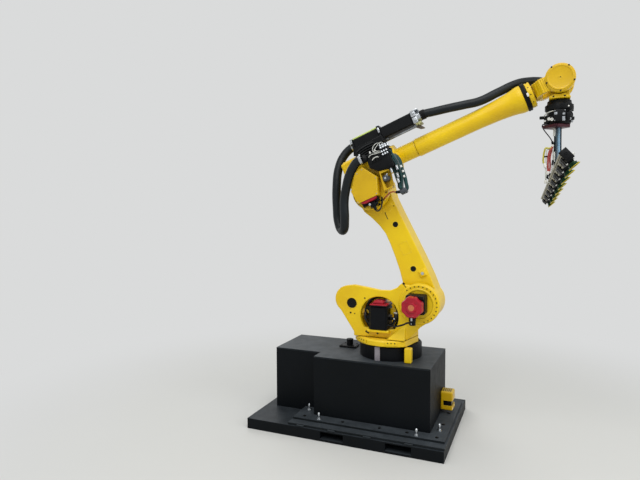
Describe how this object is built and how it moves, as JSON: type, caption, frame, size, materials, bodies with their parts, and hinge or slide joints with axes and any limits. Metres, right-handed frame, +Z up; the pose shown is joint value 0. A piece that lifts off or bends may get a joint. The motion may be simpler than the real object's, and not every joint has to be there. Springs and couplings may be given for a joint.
{
  "type": "six-axis industrial robot arm",
  "caption": "Yellow six-axis industrial robot arm on a black steel riser, with dress-out hoses and a tool changer carrying a row of gripper pads.",
  "frame": {"origin": "on the turret's turning axis, at floor level under the skid", "axes": "+Z up, +X the way the arm points forward, +Y to the arm's left"},
  "size_m": [2.7032, 2.0216, 3.1486],
  "materials": {
    "aluminium": "satin",
    "black_paint": "satin",
    "black_plastic": "satin",
    "black_rubber": "satin",
    "blue_hose": "satin",
    "bright_steel": "brushed",
    "red_plastic": "gloss",
    "yellow_paint": "gloss"
  },
  "bodies": {
    "riser": {"skid_bay": "black_paint", "lower_base_plate": "black_paint", "flange_plate": "black_paint", "riser_walls": "black_paint", "riser_top": "black_paint", "base_pedestal": "black_paint", "robot_base": "yellow_paint", "base_lug": "yellow_paint", "base_reducer_housing": "black_paint", "base_side_strip": "bright_steel", "cable_entry": "black_plastic", "scanner_housing": "yellow_paint", "scanner_window": "black_plastic"},
    "turret": {"turret_ring": "yellow_paint", "turret_casting": "yellow_paint", "balancer_trunnion": "black_plastic", "balancer_barrel": "yellow_paint", "shoulder_motor": "black_plastic", "shoulder_motor_cap": "red_plastic", "turn_motor_cover": "black_plastic", "turn_motor_cap": "red_plastic", "motor_cable": "black_rubber", "window_cable": "black_rubber"},
    "lower_arm": {"lower_arm": "yellow_paint"},
    "elbow": {"elbow_casting": "yellow_paint", "elbow_motor": "black_plastic", "elbow_motor_cap": "red_plastic", "motor_guard": "yellow_paint", "valve_box": "black_plastic", "regulator_bracket": "yellow_paint", "air_regulator": "bright_steel", "valve_hose_bundle": "black_rubber", "connector_block": "bright_steel", "retractor_stand": "yellow_paint", "retractor_rear": "black_plastic", "retractor_front": "black_plastic", "retractor_middle_clamp": "bright_steel", "retractor_front_clamp": "bright_steel", "retractor_rear_clamp": "bright_steel", "hose_loop": "black_rubber", "hose_end_clamp": "bright_steel", "front_hose": "black_rubber"},
    "forearm": {"forearm_tube": "yellow_paint", "forearm_ring": "black_plastic", "wrist_yoke": "yellow_paint"},
    "wrist": {"wrist_housing": "yellow_paint"},
    "tool": {"tool_changer": "black_plastic", "tool_post": "bright_steel", "blue_air_hose": "blue_hose", "gripper_beam": "aluminium", "beam_end_plate": "black_plastic", "pad_block_1": "black_plastic", "pad_block_2": "black_plastic", "pad_block_3": "black_plastic", "pad_block_4": "black_plastic", "pad_block_5": "black_plastic", "pad_block_6": "black_plastic", "pad_block_7": "black_plastic", "pad_block_8": "black_plastic"}
  },
  "joints": [
    {"name": "turret_turn", "type": "hinge", "parent": "riser", "child": "turret", "pos_m": [0, 0, 0.8155], "axis": [0, 0, 1], "range_deg": [-185, 185]},
    {"name": "lower_arm_swing", "type": "hinge", "parent": "turret", "child": "lower_arm", "pos_m": [0.312, 0, 1.195], "axis": [0, 1, 0], "range_deg": [-35.9, 100.1]},
    {"name": "elbow_swing", "type": "hinge", "parent": "lower_arm", "child": "elbow", "pos_m": [-0.12661, 0, 2.17645], "axis": [0, -1, 0], "range_deg": [-48, 117]},
    {"name": "forearm_roll", "type": "hinge", "parent": "elbow", "child": "forearm", "pos_m": [1.39118, 0, 3.03658], "axis": [0.9263, 0, 0.3767], "range_deg": [-360, 360], "deforming": ["front_hose"]},
    {"name": "wrist_bend", "type": "hinge", "parent": "forearm", "child": "wrist", "pos_m": [1.39118, 0, 3.03658], "axis": [0, 1, 0], "range_deg": [-237.1, 12.9]},
    {"name": "tool_turn", "type": "hinge", "parent": "wrist", "child": "tool", "pos_m": [1.39118, 0, 3.03658], "axis": [0, 0, -1], "range_deg": [-360, 360]}
  ]
}
